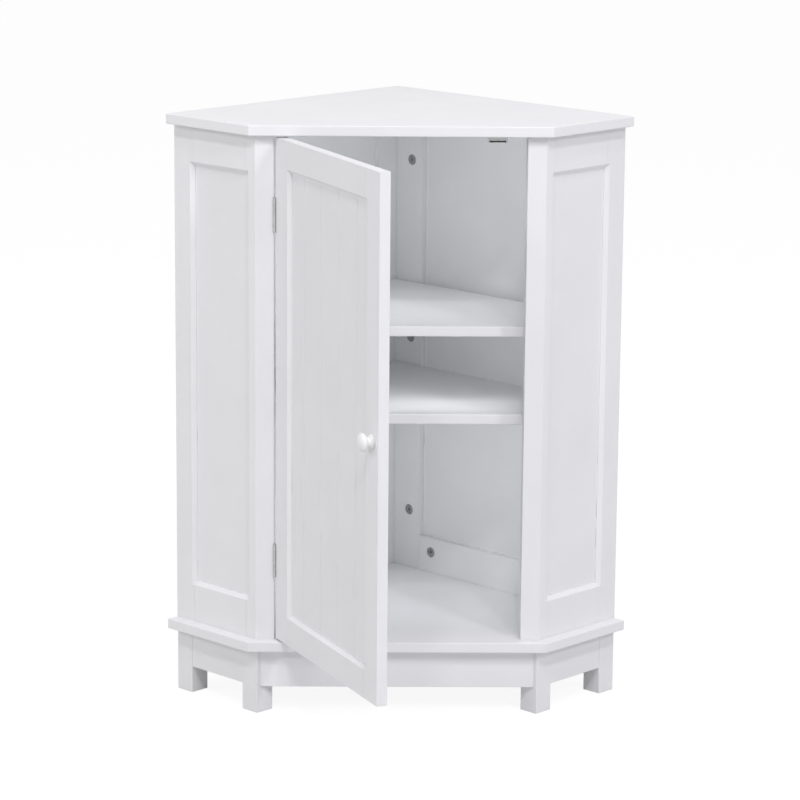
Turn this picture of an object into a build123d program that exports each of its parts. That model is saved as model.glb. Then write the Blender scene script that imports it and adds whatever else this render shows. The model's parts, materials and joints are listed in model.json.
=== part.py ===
from build123d import *
import os
from math import cos, radians, sin, sqrt

os.makedirs("parts", exist_ok=True)

# Corner cabinet on five legs, with a frame-and-panel carcase and one door on butt hinges.
# The origin is the room corner on the floor. The two walls run along y = -|x|, the front faces -Y.
# On the right side is 1, on the left it is -1.

HALF_ROOT = sqrt(0.5)
ROOT_TWO = sqrt(2)
LEFT = -1
RIGHT = 1
SIDES = {"left": LEFT, "right": RIGHT}

# Heights
leg_height = 88.7
base_thick = 14.0
carcase_height = 680.8
top_thick = 14.0

# Plan of the carcase, measured from the room corner along a wall, then square to it
carcase_wall = 424.3
side_width = 155.8

# Top and base boards stand out past the carcase by these amounts
top_side_overhang = 14.7
top_front_overhang = 12.7
base_side_overhang = 17.4
base_front_overhang = 14.3
board_edge_round = 1.5

# Frames of the sides and the back
frame_thick = 14.0
side_stile_width = 30.0
post_side_width = 13.0
top_rail_height = 48.5
bottom_rail_height = 51.0
back_stile_width = 51.0
back_top_rail_height = 28.0
side_panel_recess = 6.5
back_panel_recess = 8.0
panel_thick = 3.0
groove_depth = 6.0
panel_play = 0.5
arris_round = 0.6
side_bevel_width = 5.0
bevel_lip = 1.0

# Posts beside the door
post_face_width = 24.8
post_depth = 41.2
post_corner_round = 2.0
post_inner_round = 0.6

# Shelves
shelf_thick = 14.0
upper_shelf_top = 523.3
lower_shelf_top = 403.9
shelf_front_gap = 0.5
shelf_wall_gap = 1.0
shelf_pin_radius = 2.5
shelf_pin_reach = 8.0
corner_pin_place = 30.0
outer_pin_place = 28.0

# Legs and aprons
leg_size = 29.0
front_leg_proud = 2.6
apron_thick = 14.0
apron_height = 52.3
side_apron_setback = 1.0
front_apron_setback = 3.7
leg_round = 1.2

# Door
door_open_angle = 66.0
door_thick = 14.5
door_side_gap = 1.6
door_end_gap = 2.8
door_stile_width = 38.0
door_rail_height = 37.0
door_panel_thick = 5.0
door_panel_recess = 6.0
door_bevel_width = 3.8
door_groove_depth = 7.0
v_groove_pitch = 55.0
v_groove_width = 2.6
v_groove_depth = 1.3
v_groove_count = 4

# Butt hinges
hinge_height = 44.0
upper_hinge_drop = 102.4
lower_hinge_rise = 107.0
pin_proud = 1.2
leaf_thick = 1.0
leaf_width = 13.5
mortise_depth = 0.6
mortise_play = 0.2
knuckle_radius = 2.2
hinge_pin_radius = 1.15
pin_head_radius = 2.0
pin_head_height = 0.8
running_gap = 0.05
knuckle_gap = 0.3
knuckle_count = 5
knuckle_relief = 0.35
hinge_screw_pitch = 30.0
hinge_screw_radius = 1.25
hinge_screw_head_radius = 2.4
hinge_screw_length = 11.0
screw_play = 0.1

# Knob on the middle of the latch stile, as far from the door's foot as knob_height
knob_height = 337.0
knob_foot_radius = 9.3
knob_neck_radius = 6.2
knob_head_radius = 12.0
knob_shoulder_radius = 8.8
knob_foot_height = 2.4
knob_neck_height = 6.4
knob_shoulder_height = 9.4
knob_rim_height = 12.6
knob_length = 19.0
knob_screw_radius = 2.0
knob_screw_bite = 12.0
knob_screw_head_radius = 4.0
knob_screw_head_height = 2.0

# Magnetic catch under the top board
catch_inset = 39.0
catch_width = 26.0
catch_depth = 16.0
catch_height = 11.2
magnet_width = 22.0
magnet_height = 2.2
magnet_depth = 8.0
magnet_floor = 1.0
plate_thick = 1.0
plate_proud = 0.4
catch_screw_pitch = 15.0
catch_screw_radius = 1.4
catch_screw_head_radius = 2.6
catch_screw_head_height = 1.6
catch_screw_bite = 8.0
strike_width = 24.0
strike_height = 10.0
strike_thick = 1.0
strike_gap = 0.3
strike_screw_length = 10.0

# Cam locks and their bolts
cam_radius = 7.5
cam_height = 11.5
cam_setback = 30.0
cam_play = 0.1
cam_slot_width = 6.6
cam_cross_length = 8.0
cam_cross_width = 1.6
cam_cross_depth = 2.0
cam_bolt_radius = 3.0
cam_bolt_play = 0.2
cam_bolt_bite = 10.0
cam_bolt_short = 1.0
corner_cam_pitch = 254.7
rail_cam_place = 23.0
outer_cam_pitch = 440.0

# Dowels
dowel_radius = 4.0
dowel_bite = 10.0
dowel_length = 25.0
dowel_play = 0.1

# Levels and lines worked out from the sizes above
base_top = leg_height + base_thick
carcase_top = base_top + carcase_height
carcase_middle = (base_top + carcase_top) / 2
front_y = -(carcase_wall + side_width) * HALF_ROOT
front_corner_x = (carcase_wall - side_width) * HALF_ROOT
post_inner_x = front_corner_x - post_face_width
post_back_y = front_y + post_depth
recess_front = side_width - post_side_width
rail_low_edge = base_top + bottom_rail_height
rail_high_edge = carcase_top - top_rail_height
back_rail_high_edge = carcase_top - back_top_rail_height
side_board_edge = side_stile_width + side_bevel_width
ear_edge = recess_front - side_bevel_width
side_low_edge = rail_low_edge + side_bevel_width
side_high_edge = rail_high_edge - side_bevel_width
side_groove_up = (side_low_edge - groove_depth, side_high_edge + groove_depth)
back_groove_up = (rail_low_edge - groove_depth, back_rail_high_edge + groove_depth)
catch_place = post_inner_x - catch_inset


def corner_outline(reach, front, wall_gap=0.0):
    """Five plan points of a corner board: reach along the walls, front line, gap to the walls."""
    back = (0, -wall_gap * ROOT_TWO)
    wall_x = (reach - wall_gap) * HALF_ROOT
    wall_y = -(reach + wall_gap) * HALF_ROOT
    front_x = reach * ROOT_TWO + front
    return [back, (wall_x, wall_y), (front_x, front), (-front_x, front), (-wall_x, wall_y)]


def wall_plane(side, inset=0.0):
    """X runs along the wall from the room corner, Z faces into the cabinet."""
    plane = Plane(
        origin=(0, 0, 0),
        x_dir=(side * HALF_ROOT, -HALF_ROOT, 0),
        z_dir=(-side * HALF_ROOT, -HALF_ROOT, 0),
    )
    return plane.offset(inset)


def side_plane(side, inset=0.0):
    """X runs over the side's outer face from the wall to the front, Z faces into the cabinet."""
    plane = Plane(
        origin=(side * carcase_wall * HALF_ROOT, -carcase_wall * HALF_ROOT, 0),
        x_dir=(-side * HALF_ROOT, -HALF_ROOT, 0),
        z_dir=(-side * HALF_ROOT, HALF_ROOT, 0),
    )
    return plane.offset(inset)


def slab(plane, side, along, up, thick, mode=Mode.ADD):
    """Flat piece on a wall or side plane: along and up are (from, to), thick is its depth."""
    middle = ((along[0] + along[1]) / 2, side * (up[0] + up[1]) / 2)
    with BuildSketch(plane) as outline:
        with Locations(middle):
            Rectangle(along[1] - along[0], up[1] - up[0])
    extrude(outline.sketch, amount=thick, mode=mode)


def disc(plane, radius, centre=(0, 0)):
    """Round face at a point of a plane."""
    with BuildSketch(plane) as outline:
        with Locations(centre):
            Circle(radius)
    return outline.sketch


def block(plane, size, centre, amount, mode=Mode.ADD):
    """Rectangular block on a plane."""
    with BuildSketch(plane) as outline:
        with Locations(centre):
            Rectangle(*size)
    extrude(outline.sketch, amount=amount, mode=mode)


def bevel(plane, size, centre, width, depth):
    """Cut the sloped inner edges of a frame round its opening, mitred where they meet."""
    with BuildSketch(plane) as mouth:
        with Locations(centre):
            Rectangle(*size)
    with BuildSketch(plane.offset(depth)) as floor:
        with Locations(centre):
            Rectangle(size[0] - 2 * width, size[1] - 2 * width)
    loft([mouth.sketch, floor.sketch], mode=Mode.SUBTRACT)


def bevel_side_frame(side):
    """Sloped edges of a side frame's opening."""
    size = (recess_front - side_stile_width, rail_high_edge - rail_low_edge)
    centre = ((side_stile_width + recess_front) / 2, side * (rail_low_edge + rail_high_edge) / 2)
    bevel(side_plane(side), size, centre, side_bevel_width, side_panel_recess - bevel_lip)


def bore(plane, side, centre, radius, depth, mode=Mode.SUBTRACT):
    """Round hole or stud at (along, up) on a wall or side plane."""
    extrude(disc(plane, radius, (centre[0], side * centre[1])), amount=depth, mode=mode)


def upright_bore(x, y, bottom, height, radius, mode=Mode.SUBTRACT):
    """Round upright hole or stud from bottom over height."""
    extrude(disc(Plane.XY.offset(bottom), radius, (x, y)), amount=height, mode=mode)


def plane_point(plane, along, inset):
    """Plan position of a point on a wall or side plane."""
    point = plane.from_local_coords(Vector(along, 0, inset))
    return point.X, point.Y


def save(piece, name):
    piece.label = name
    export_step(piece, f"parts/{name}.step")


# Cam locks: each has its plane side, its centre along the board, its height and the way its bolt points.
corner_cam_heights = [carcase_middle + step * corner_cam_pitch for step in (-1, 0, 1)]
corner_cam_along = frame_thick + cam_setback
outer_cam_along = carcase_wall - frame_thick - cam_setback
outer_cam_heights = [carcase_middle + step * outer_cam_pitch / 2 for step in (-1, 1)]
low_cam_height = base_top + cam_setback
high_cam_height = carcase_top - cam_setback
right_rail_start = frame_thick + back_stile_width
left_rail_start = back_stile_width
rail_end = carcase_wall - frame_thick - back_stile_width
side_cam_along = (side_stile_width + recess_front) / 2
bolt_line = frame_thick / 2


def rail_start(side):
    return right_rail_start if side == RIGHT else left_rail_start


def low_cam_places(side):
    return [rail_start(side) + rail_cam_place, rail_end - rail_cam_place]


def cut_cams(plane, side, places):
    """Cam bores from the inner face, each (along, up)."""
    for place in places:
        bore(plane, side, place, cam_radius + cam_play, -(cam_height + cam_play))


bolt_reach = cam_setback + cam_bolt_bite - cam_bolt_short


def level_bolt(side, along, height, way):
    """Bolt plane in a back frame: it starts in the other board and runs along the wall to its cam."""
    plane = wall_plane(side, bolt_line)
    foot = along - way * (cam_setback + cam_bolt_bite)
    start = plane.from_local_coords(Vector(foot, side * height, 0))
    return Plane(origin=start, z_dir=plane.x_dir * way)


def upright_bolt(plane, along, height, way):
    """Bolt plane in a rail: it starts in the base or top board and runs up or down to its cam."""
    x, y = plane_point(plane, along, 0)
    foot = height - way * (cam_setback + cam_bolt_bite)
    return Plane(origin=(x, y, foot), z_dir=(0, 0, way))


bolt_planes = [level_bolt(RIGHT, corner_cam_along, height, 1) for height in corner_cam_heights]
for wall_side in SIDES.values():
    bolt_planes += [level_bolt(wall_side, outer_cam_along, height, -1) for height in outer_cam_heights]
    back_line = wall_plane(wall_side, bolt_line)
    side_line = side_plane(wall_side, bolt_line)
    for place in low_cam_places(wall_side):
        bolt_planes.append(upright_bolt(back_line, place, low_cam_height, 1))
    bolt_planes.append(upright_bolt(side_line, side_cam_along, low_cam_height, 1))
    bolt_planes.append(upright_bolt(side_line, side_cam_along, high_cam_height, -1))


# Clearance holes of the cam bolts, cut from every board that they pass through
with BuildPart() as bolt_holes:
    for plane in bolt_planes:
        hole = disc(plane.offset(-cam_bolt_play), cam_bolt_radius + cam_bolt_play)
        extrude(hole, amount=bolt_reach + 2 * cam_bolt_play)

# Dowels stand upright: each is (x, y, joint level, depth below the joint).
post_centre_x = post_inner_x + post_face_width / 2
post_centre_y = front_y + post_depth / 2
post_dowels = [(side * post_centre_x, post_centre_y) for side in SIDES.values()]
back_leg_plane = wall_plane(RIGHT)
leg_dowels = [plane_point(back_leg_plane, leg_size / 2, leg_size / 2)]
front_leg_end = side_width + front_leg_proud
front_leg_start = front_leg_end - leg_size
for leg_side in SIDES.values():
    outer_leg_plane = side_plane(leg_side)
    leg_dowels.append(plane_point(outer_leg_plane, leg_size / 2, leg_size / 2))
    leg_dowels.append(plane_point(outer_leg_plane, front_leg_start + leg_size / 2, leg_size / 2))
dowel_feet = [(x, y, leg_height + dowel_bite - dowel_length) for x, y in leg_dowels]
dowel_feet += [(x, y, base_top - dowel_bite) for x, y in post_dowels]
dowel_feet += [(x, y, carcase_top + dowel_bite - dowel_length) for x, y in post_dowels]


# Clearance holes of the dowels
with BuildPart() as dowel_holes:
    for x, y, foot in dowel_feet:
        hole_length = dowel_length + 2 * dowel_play
        upright_bore(x, y, foot - dowel_play, hole_length, dowel_radius + dowel_play, Mode.ADD)

# Catch screws are needed before the top board, which has their pilot holes.
catch_front_y = front_y + door_thick + strike_thick + strike_gap + plate_proud
catch_screw_y = catch_front_y + (catch_depth + magnet_depth + magnet_floor) / 2
catch_screw_places = [(catch_place + step * catch_screw_pitch / 2, catch_screw_y) for step in (-1, 1)]

# Top board
top_plan = corner_outline(carcase_wall + top_side_overhang, front_y - top_front_overhang)
with BuildPart() as top_board:
    with BuildSketch(Plane.XY.offset(carcase_top)):
        with BuildLine():
            Polyline(top_plan, close=True)
        make_face()
    extrude(amount=top_thick)
    faces = top_board.faces().filter_by(Axis.Z)
    fillet(faces.edges(), radius=board_edge_round)
    add(bolt_holes.part, mode=Mode.SUBTRACT)
    add(dowel_holes.part, mode=Mode.SUBTRACT)
    catch_hole_depth = catch_screw_bite + screw_play
    for screw_x, screw_y in catch_screw_places:
        upright_bore(screw_x, screw_y, carcase_top, catch_hole_depth, catch_screw_radius + screw_play)
save(top_board.part, "top_board")

# Base board
base_plan = corner_outline(carcase_wall + base_side_overhang, front_y - base_front_overhang)
with BuildPart() as base_board:
    with BuildSketch(Plane.XY.offset(leg_height)):
        with BuildLine():
            Polyline(base_plan, close=True)
        make_face()
    extrude(amount=base_thick)
    faces = base_board.faces().filter_by(Axis.Z)
    fillet(faces.edges(), radius=board_edge_round)
    add(bolt_holes.part, mode=Mode.SUBTRACT)
    add(dowel_holes.part, mode=Mode.SUBTRACT)
save(base_board.part, "base_board")

# Butt hinge planes. X is the way from the post to the door, Z is the way out of the front.
pin_x = -(post_inner_x - door_side_gap / 2)
pin_y = front_y - pin_proud
door_foot = base_top + door_end_gap
door_head = carcase_top - door_end_gap
hinge_middles = {"upper": door_head - upper_hinge_drop, "lower": door_foot + lower_hinge_rise}
half_gap = door_side_gap / 2
door_width = 2 * post_inner_x - 2 * door_side_gap


def swing_plane(angle):
    """Upright plane through the hinge pin, turned by the door's opening angle."""
    turn = radians(angle)
    along = (cos(turn), -sin(turn), 0)
    outward = (-sin(turn), -cos(turn), 0)
    return Plane(origin=(pin_x, pin_y, 0), x_dir=along, z_dir=outward)


post_swing = swing_plane(0)
door_swing = swing_plane(door_open_angle)
door_face = door_swing.offset(-pin_proud)


def cut_hinge_mortises(plane, way):
    """Seat of each hinge leaf and room for its knuckles; way is -1 on the post, 1 on the door."""
    seat_depth = leaf_width + mortise_play
    relief_height = hinge_height + 2 * (pin_head_height + mortise_play)
    for middle in hinge_middles.values():
        across = way * (half_gap + mortise_depth / 2)
        seat = (mortise_depth, hinge_height + 2 * mortise_play)
        block(plane.offset(-seat_depth), seat, (across, middle), seat_depth, Mode.SUBTRACT)
        relief_low = middle - relief_height / 2
        upright_bore(pin_x, pin_y, relief_low, relief_height, knuckle_radius + knuckle_relief)


def hinge_screw_planes(plane, way):
    """Plane of each hinge screw's head on the leaf, facing into the wood."""
    leaf_face = way * (half_gap + mortise_depth - leaf_thick)
    leaf_middle = (knuckle_radius + leaf_width) / 2
    planes = []
    for middle in hinge_middles.values():
        for step in (-1, 1):
            local = Vector(leaf_face, middle + step * hinge_screw_pitch / 2, -leaf_middle)
            planes.append(Plane(origin=plane.from_local_coords(local), z_dir=plane.x_dir * way))
    return planes


def cut_hinge_screws(planes):
    """Pilot holes of the hinge screws."""
    for plane in planes:
        hole = disc(plane, hinge_screw_radius + screw_play)
        extrude(hole, amount=hinge_screw_length + screw_play, mode=Mode.SUBTRACT)


frame_screw_planes = hinge_screw_planes(post_swing, -1)
door_screw_planes = hinge_screw_planes(door_swing, 1)


def post_section(side):
    """Plan of a post: its face, the 45 degree ear that carries the side rails, and its deep jamb."""
    corner = Vector(side * front_corner_x, front_y)
    outward = Vector(side * HALF_ROOT, HALF_ROOT)
    inward = Vector(-side * HALF_ROOT, HALF_ROOT)
    ear_front = corner + outward * (side_width - ear_edge)
    ear_back = ear_front + inward * frame_thick
    face_inner = Vector(side * post_inner_x, front_y)
    back_outer = Vector(ear_back.X, post_back_y)
    back_inner = Vector(side * post_inner_x, post_back_y)
    return [face_inner, corner, ear_front, ear_back, back_outer, back_inner]


pin_drop = shelf_thick + shelf_pin_radius
shelf_pin_levels = (upper_shelf_top - pin_drop, lower_shelf_top - pin_drop)
shelf_pin_hole = shelf_pin_radius + dowel_play
outer_pin_along = carcase_wall - frame_thick - outer_pin_place
corner_pin_along = frame_thick + corner_pin_place

# Posts
for side_name, side in SIDES.items():
    with BuildPart() as front_post:
        with BuildSketch(Plane.XY.offset(base_top)):
            with BuildLine():
                Polyline(post_section(side), close=True)
            make_face()
        extrude(amount=carcase_height)
        uprights = front_post.edges().filter_by(Axis.Z)
        corner_edge = uprights.sort_by_distance((side * front_corner_x, front_y, carcase_middle))[0]
        fillet(corner_edge, radius=post_corner_round)
        uprights = front_post.edges().filter_by(Axis.Z)
        inner_edge = uprights.sort_by_distance((side * post_inner_x, front_y, carcase_middle))[0]
        fillet(inner_edge, radius=post_inner_round)
        slab(
            side_plane(side, side_panel_recess),
            side,
            (ear_edge - groove_depth, ear_edge + groove_depth),
            side_groove_up,
            panel_thick,
            Mode.SUBTRACT,
        )
        bevel_side_frame(side)
        add(dowel_holes.part, mode=Mode.SUBTRACT)
        for level in shelf_pin_levels:
            pin_plane = Plane(origin=(side * post_centre_x, post_back_y, level), z_dir=(0, -1, 0))
            extrude(disc(pin_plane, shelf_pin_hole), amount=shelf_pin_reach, mode=Mode.SUBTRACT)
        if side == LEFT:
            cut_hinge_mortises(post_swing, -1)
            cut_hinge_screws(frame_screw_planes)
    save(front_post.part, f"{side_name}_front_post")

# Side frames: a stile at the wall, two rails to the post's ear, and a panel in the grooves
for side_name, side in SIDES.items():
    outer_face = side_plane(side)
    inner_face = side_plane(side, frame_thick)
    groove_face = side_plane(side, side_panel_recess)
    rails = {
        "bottom_rail": (base_top, side_low_edge, low_cam_height),
        "top_rail": (side_high_edge, carcase_top, high_cam_height),
    }
    panel_along = (side_board_edge - groove_depth + panel_play, ear_edge + groove_depth - panel_play)
    panel_up = (side_groove_up[0] + panel_play, side_groove_up[1] - panel_play)

    with BuildPart() as side_stile:
        slab(outer_face, side, (0, side_board_edge), (base_top, carcase_top), frame_thick)
        slab(
            groove_face,
            side,
            (side_board_edge - groove_depth, side_board_edge),
            side_groove_up,
            panel_thick,
            Mode.SUBTRACT,
        )
        bevel_side_frame(side)
        add(bolt_holes.part, mode=Mode.SUBTRACT)
    save(side_stile.part, f"{side_name}_side_stile")

    for rail_name, (low, high, cam_level) in rails.items():
        groove_up = (high - groove_depth, high) if rail_name == "bottom_rail" else (low, low + groove_depth)
        with BuildPart() as side_rail:
            slab(outer_face, side, (side_board_edge, ear_edge), (low, high), frame_thick)
            slab(groove_face, side, (side_board_edge, ear_edge), groove_up, panel_thick, Mode.SUBTRACT)
            bevel_side_frame(side)
            cut_cams(inner_face, side, [(side_cam_along, cam_level)])
            add(bolt_holes.part, mode=Mode.SUBTRACT)
        save(side_rail.part, f"{side_name}_side_{rail_name}")

    with BuildPart() as side_panel:
        slab(groove_face, side, panel_along, panel_up, panel_thick)
    save(side_panel.part, f"{side_name}_side_panel")

# Back frames: the left corner stile runs into the room corner and the right one butts against it
back_groove_inset = frame_thick - back_panel_recess - panel_thick
for side_name, side in SIDES.items():
    wall_face = wall_plane(side)
    inner_face = wall_plane(side, frame_thick)
    groove_face = wall_plane(side, back_groove_inset)
    start = rail_start(side)
    stiles = {
        "corner_stile": (start - back_stile_width, start),
        "outer_stile": (rail_end, carcase_wall - frame_thick),
    }
    grooves = {
        "corner_stile": (start - groove_depth, start),
        "outer_stile": (rail_end, rail_end + groove_depth),
    }
    corner_cams = [(corner_cam_along, height) for height in corner_cam_heights] if side == RIGHT else []
    cams = {
        "corner_stile": corner_cams,
        "outer_stile": [(outer_cam_along, height) for height in outer_cam_heights],
    }
    pins = {
        "corner_stile": [corner_pin_along] if side == RIGHT else [],
        "outer_stile": [outer_pin_along],
    }
    for stile_name, along in stiles.items():
        with BuildPart() as back_stile:
            slab(wall_face, side, along, (base_top, carcase_top), frame_thick)
            groove = grooves[stile_name]
            slab(groove_face, side, groove, back_groove_up, panel_thick, Mode.SUBTRACT)
            cut_cams(inner_face, side, cams[stile_name])
            add(bolt_holes.part, mode=Mode.SUBTRACT)
            for pin_along in pins[stile_name]:
                for level in shelf_pin_levels:
                    bore(inner_face, side, (pin_along, level), shelf_pin_hole, -shelf_pin_reach)
        save(back_stile.part, f"{side_name}_back_{stile_name}")

    low_cams = [(place, low_cam_height) for place in low_cam_places(side)]
    low_groove = (back_groove_up[0], rail_low_edge)
    high_groove = (back_rail_high_edge, back_groove_up[1])
    back_rails = {
        "bottom_rail": ((base_top, rail_low_edge), low_groove, low_cams),
        "top_rail": ((back_rail_high_edge, carcase_top), high_groove, []),
    }
    for rail_name, (rail_up, groove_up, rail_cams) in back_rails.items():
        with BuildPart() as back_rail:
            slab(wall_face, side, (start, rail_end), rail_up, frame_thick)
            slab(groove_face, side, (start, rail_end), groove_up, panel_thick, Mode.SUBTRACT)
            cut_cams(inner_face, side, rail_cams)
            add(bolt_holes.part, mode=Mode.SUBTRACT)
        save(back_rail.part, f"{side_name}_back_{rail_name}")

    panel_along = (start - groove_depth + panel_play, rail_end + groove_depth - panel_play)
    panel_up = (back_groove_up[0] + panel_play, back_groove_up[1] - panel_play)
    with BuildPart() as back_panel:
        slab(groove_face, side, panel_along, panel_up, panel_thick)
    save(back_panel.part, f"{side_name}_back_panel")

# Shelves, behind the posts
shelf_wall_inset = frame_thick + shelf_wall_gap
shelf_reach = carcase_wall - shelf_wall_inset
shelf_plan = corner_outline(shelf_reach, post_back_y + shelf_front_gap, shelf_wall_inset)
for shelf_name, shelf_top in {"upper_shelf": upper_shelf_top, "lower_shelf": lower_shelf_top}.items():
    with BuildPart() as shelf:
        with BuildSketch(Plane.XY.offset(shelf_top - shelf_thick)):
            with BuildLine():
                Polyline(shelf_plan, close=True)
            make_face()
        extrude(amount=shelf_thick)
        fillet(shelf.faces().sort_by(Axis.Y)[0].edges().filter_by(Axis.X), radius=board_edge_round)
    save(shelf.part, shelf_name)

# Shelf pins: two in the posts, two in the outer back stiles and one in the corner, under each shelf
pin_length = 2 * shelf_pin_reach - dowel_play
with BuildPart() as shelf_pins:
    for level in shelf_pin_levels:
        for side in SIDES.values():
            foot_y = post_back_y - shelf_pin_reach + dowel_play
            pin_plane = Plane(origin=(side * post_centre_x, foot_y, level), z_dir=(0, 1, 0))
            extrude(disc(pin_plane, shelf_pin_radius), amount=pin_length)
            pin_end = wall_plane(side, frame_thick + shelf_pin_reach)
            bore(pin_end, side, (outer_pin_along, level), shelf_pin_radius, -pin_length, Mode.ADD)
        pin_end = wall_plane(RIGHT, frame_thick + shelf_pin_reach)
        bore(pin_end, RIGHT, (corner_pin_along, level), shelf_pin_radius, -pin_length, Mode.ADD)
save(shelf_pins.part, "shelf_pins")

# Square legs, eased on the three upright edges that face the room
leg_places = {"back_leg": (wall_plane(RIGHT), RIGHT, (0, leg_size))}
for side_name, side in SIDES.items():
    leg_places[f"{side_name}_outer_leg"] = (side_plane(side), side, (0, leg_size))
    leg_places[f"{side_name}_front_leg"] = (side_plane(side), side, (front_leg_start, front_leg_end))
for leg_name, (plane, side, along) in leg_places.items():
    with BuildPart() as square_leg:
        slab(plane, side, along, (0, leg_height), leg_size)
        uprights = square_leg.edges().filter_by(Axis.Z).sort_by(Axis.Y)
        fillet(uprights[:-1], radius=leg_round)
        add(dowel_holes.part, mode=Mode.SUBTRACT)
    save(square_leg.part, leg_name)

# Aprons between the legs
apron_up = (leg_height - apron_height, leg_height)
for side_name, side in SIDES.items():
    with BuildPart() as side_apron:
        slab(side_plane(side, side_apron_setback), side, (leg_size, front_leg_start), apron_up, apron_thick)
    save(side_apron.part, f"{side_name}_side_apron")
    with BuildPart() as back_apron:
        slab(wall_plane(side), side, (leg_size, carcase_wall - leg_size), apron_up, apron_thick)
    save(back_apron.part, f"{side_name}_back_apron")

front_leg_x = front_leg_end * ROOT_TWO
apron_face_y = -(carcase_wall + front_leg_end) * HALF_ROOT + front_apron_setback
apron_face_x = -apron_face_y - front_leg_x
with BuildPart() as front_apron:
    with BuildSketch(Plane.XY.offset(apron_up[0])):
        with BuildLine():
            Polyline(
                (apron_face_x, apron_face_y),
                (apron_face_x - apron_thick, apron_face_y + apron_thick),
                (apron_thick - apron_face_x, apron_face_y + apron_thick),
                (-apron_face_x, apron_face_y),
                close=True,
            )
        make_face()
    extrude(amount=apron_height)
save(front_apron.part, "front_apron")

# Door frame and panel, built on the plane of the open door
door_start = half_gap
door_end = half_gap + door_width
opening_width = door_width - 2 * door_stile_width
opening_height = door_head - door_foot - 2 * door_rail_height
panel_left = door_start + door_stile_width + door_bevel_width
panel_right = door_end - door_stile_width - door_bevel_width
panel_low = door_foot + door_rail_height + door_bevel_width
panel_high = door_head - door_rail_height - door_bevel_width
door_panel_face = door_face.offset(-door_panel_recess)
door_groove_up = (panel_low - door_groove_depth, panel_high + door_groove_depth)
knob_x = door_end - door_stile_width / 2
knob_z = door_foot + knob_height
strike_z = carcase_top - catch_height + plate_thick + magnet_height / 2
strike_x = catch_place - pin_x
door_back = door_face.offset(-door_thick)


def door_board(along, up, thick=door_thick, plane=door_face, mode=Mode.ADD):
    """Flat door piece behind the given plane."""
    size = (along[1] - along[0], up[1] - up[0])
    block(plane, size, ((along[0] + along[1]) / 2, (up[0] + up[1]) / 2), -thick, mode)


def bevel_door_frame():
    """Sloped edges of the door's opening."""
    centre = ((panel_left + panel_right) / 2, (panel_low + panel_high) / 2)
    size = (opening_width, opening_height)
    bevel(door_face, size, centre, door_bevel_width, bevel_lip - door_panel_recess)


with BuildPart() as door_hinge_stile:
    door_board((door_start, panel_left), (door_foot, door_head))
    fillet(door_hinge_stile.edges().filter_by(Axis.Z), radius=arris_round)
    groove = (panel_left - door_groove_depth, panel_left)
    door_board(groove, door_groove_up, door_panel_thick, door_panel_face, Mode.SUBTRACT)
    bevel_door_frame()
    cut_hinge_mortises(door_swing, 1)
    cut_hinge_screws(door_screw_planes)
save(door_hinge_stile.part, "door_hinge_stile")

with BuildPart() as door_latch_stile:
    door_board((panel_right, door_end), (door_foot, door_head))
    fillet(door_latch_stile.edges().filter_by(Axis.Z), radius=arris_round)
    groove = (panel_right, panel_right + door_groove_depth)
    door_board(groove, door_groove_up, door_panel_thick, door_panel_face, Mode.SUBTRACT)
    bevel_door_frame()
    knob_hole = disc(door_face, knob_screw_radius + screw_play, (knob_x, knob_z))
    extrude(knob_hole, amount=-door_thick, mode=Mode.SUBTRACT)
    strike_hole = disc(door_back, hinge_screw_radius + screw_play, (strike_x, strike_z))
    extrude(strike_hole, amount=strike_screw_length, mode=Mode.SUBTRACT)
save(door_latch_stile.part, "door_latch_stile")

with BuildPart() as door_bottom_rail:
    door_board((panel_left, panel_right), (door_foot, panel_low))
    groove = (panel_low - door_groove_depth, panel_low)
    door_board((panel_left, panel_right), groove, door_panel_thick, door_panel_face, Mode.SUBTRACT)
    bevel_door_frame()
save(door_bottom_rail.part, "door_bottom_rail")

with BuildPart() as door_top_rail:
    door_board((panel_left, panel_right), (panel_high, door_head))
    groove = (panel_high, panel_high + door_groove_depth)
    door_board((panel_left, panel_right), groove, door_panel_thick, door_panel_face, Mode.SUBTRACT)
    bevel_door_frame()
save(door_top_rail.part, "door_top_rail")

tongue = door_groove_depth - panel_play
v_start = (panel_left + panel_right - (v_groove_count - 1) * v_groove_pitch) / 2
with BuildPart() as door_panel:
    panel_across = (panel_left - tongue, panel_right + tongue)
    panel_up = (panel_low - tongue, panel_high + tongue)
    door_board(panel_across, panel_up, door_panel_thick, door_panel_face)
    section_origin = door_panel_face.from_local_coords(Vector(0, panel_low, 0))
    section = Plane(origin=section_origin, x_dir=door_swing.x_dir, z_dir=(0, 0, 1))
    with BuildSketch(section):
        for index in range(v_groove_count):
            place = v_start + index * v_groove_pitch
            with BuildLine():
                Polyline(
                    (place - v_groove_width / 2, 0),
                    (place, v_groove_depth),
                    (place + v_groove_width / 2, 0),
                    close=True,
                )
            make_face()
    extrude(amount=panel_high - panel_low, mode=Mode.SUBTRACT)
save(door_panel.part, "door_panel")

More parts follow.
